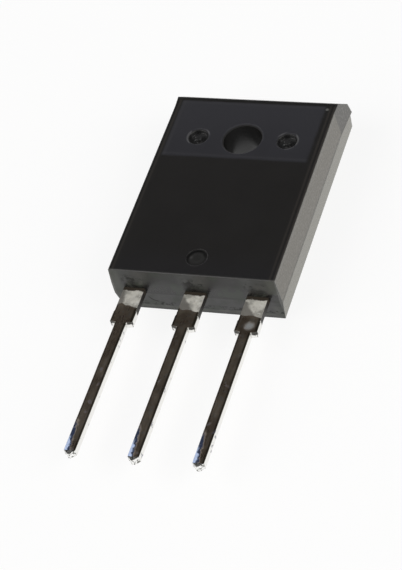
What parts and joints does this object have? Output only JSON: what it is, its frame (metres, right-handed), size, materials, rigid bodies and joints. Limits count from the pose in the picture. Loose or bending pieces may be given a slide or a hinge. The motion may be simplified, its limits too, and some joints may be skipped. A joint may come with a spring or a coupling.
{
  "type": "power transistor",
  "caption": "Power transistor in a fully insulated black plastic package, with a screw hole for a heatsink and flat leads for through-hole soldering.",
  "frame": {"origin": "centre of the screw hole on the heatsink face, the flat back that the part lies on", "axes": "+X across the leads towards the emitter lead, +Y from the lead tips towards the screw hole end, +Z along the screw hole out of the front face"},
  "size_m": [0.0154, 0.0404, 0.005],
  "materials": {
    "moulding_epoxy": "satin moulded epoxy, smoother round the screw hole",
    "lead_metal": "copper strip, bare near the body and dipped in solder towards the tips",
    "silicon": "polished silicon",
    "solder": "solidified solder",
    "bond_wire": "drawn wire"
  },
  "bodies": {
    "root": {"mould_body": "moulding_epoxy", "collector_frame": "lead_metal", "base_lead": "lead_metal", "emitter_lead": "lead_metal", "chip": "silicon", "chip_solder": "solder", "base_wire": "bond_wire", "emitter_wire": "bond_wire"}
  },
  "joints": []
}
